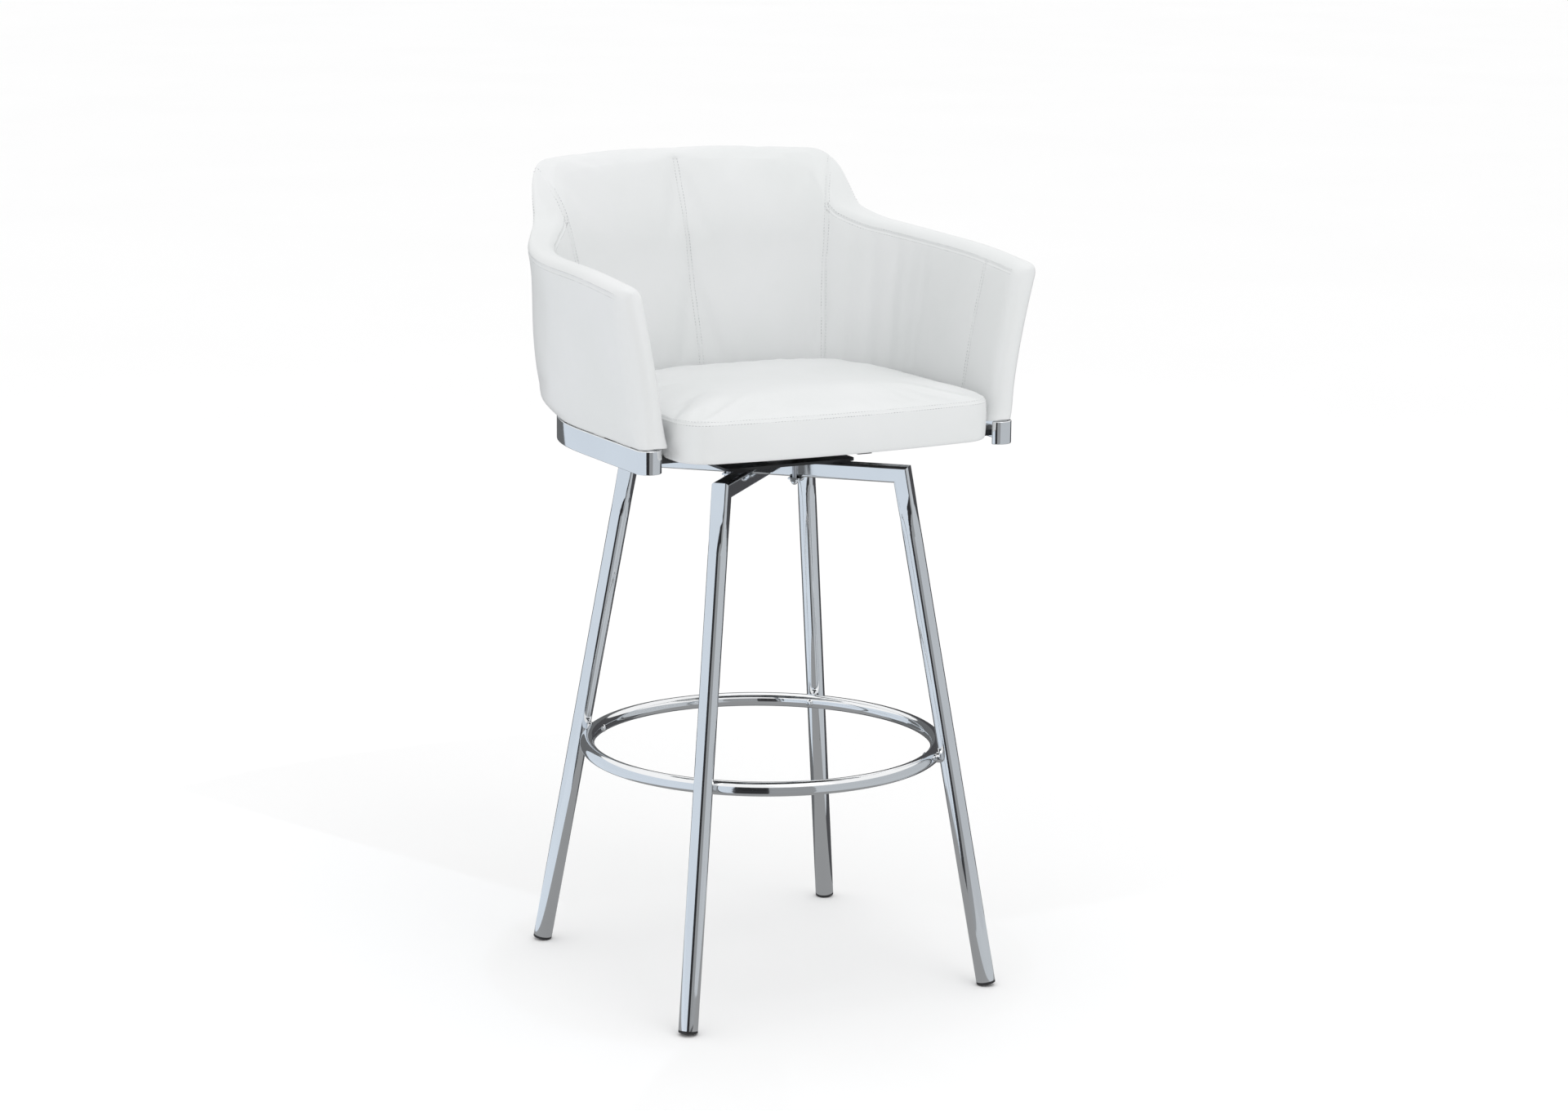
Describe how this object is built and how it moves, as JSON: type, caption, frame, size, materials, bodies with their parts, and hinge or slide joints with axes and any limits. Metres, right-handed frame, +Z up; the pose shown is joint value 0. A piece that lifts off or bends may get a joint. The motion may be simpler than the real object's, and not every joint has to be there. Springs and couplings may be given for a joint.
{
  "type": "swivel bar stool",
  "caption": "Bar stool with a barrel-backed padded seat on a full-turn ball-race swivel, splayed chrome tube legs and a round footrest ring.",
  "frame": {"origin": "on the floor, at the centre of the whole stool's footprint box; the swivel axis stands 32.8 mm in front of it", "axes": "+Z up, the sitter faces -Y, +X to the left hand of a sitter"},
  "size_m": [0.6146, 0.5496, 1.0717],
  "materials": {
    "chrome": "polished chrome plate",
    "black_steel": "satin black paint",
    "plain_steel": "plain zinc-plated steel",
    "plywood": "raw plywood",
    "white_leather": "smooth white leather-look cover over foam",
    "black_plastic": "moulded black plastic",
    "black_board": "plywood stained black",
    "cage_plastic": "natural nylon"
  },
  "bodies": {
    "base": {"leg_front_left": "chrome", "leg_front_right": "chrome", "leg_rear_right": "chrome", "leg_rear_left": "chrome", "glide_front_left": "black_plastic", "glide_front_right": "black_plastic", "glide_rear_right": "black_plastic", "glide_rear_left": "black_plastic", "cross_tube_long": "chrome", "cross_tube_front_left": "chrome", "cross_tube_rear_right": "chrome", "footrest_ring": "chrome", "ring_bosses": "chrome", "ring_screws": "chrome", "rivet_nuts": "plain_steel", "clamp_strips": "chrome", "clamp_bolts": "plain_steel", "dome_nuts": "chrome", "swivel_lower_plate": "black_steel", "lower_race": "plain_steel", "swivel_pivot": "plain_steel", "pivot_washer": "plain_steel"},
    "ball_set": {"swivel_balls": "plain_steel", "ball_cage": "cage_plastic"},
    "seat": {"chrome_band": "chrome", "upper_race": "plain_steel", "rail_bolts": "plain_steel", "rail_nuts": "plain_steel", "seat_bolts": "plain_steel", "board_inserts": "plain_steel", "bracket_screws": "plain_steel", "swivel_upper_plate": "black_steel", "seat_rail_left": "black_steel", "seat_rail_right": "black_steel", "front_cross_bar": "black_steel", "rear_cross_bar": "black_steel", "shell_brackets": "black_steel", "seat_board": "black_board", "shell_rim": "plywood", "seat_cushion": "white_leather", "barrel_shell": "white_leather"}
  },
  "joints": [
    {"name": "seat_swivel", "type": "hinge", "parent": "base", "child": "seat", "pos_m": [0, -0.03284, 0.7], "axis": [0, 0, 1], "continuous": true},
    {"name": "ball_roll", "type": "hinge", "parent": "base", "child": "ball_set", "pos_m": [0, -0.03284, 0.7], "axis": [0, 0, 1], "continuous": true}
  ],
  "couplings": [
    {"joint": "ball_roll", "follows": "seat_swivel", "ratio": 0.5}
  ]
}
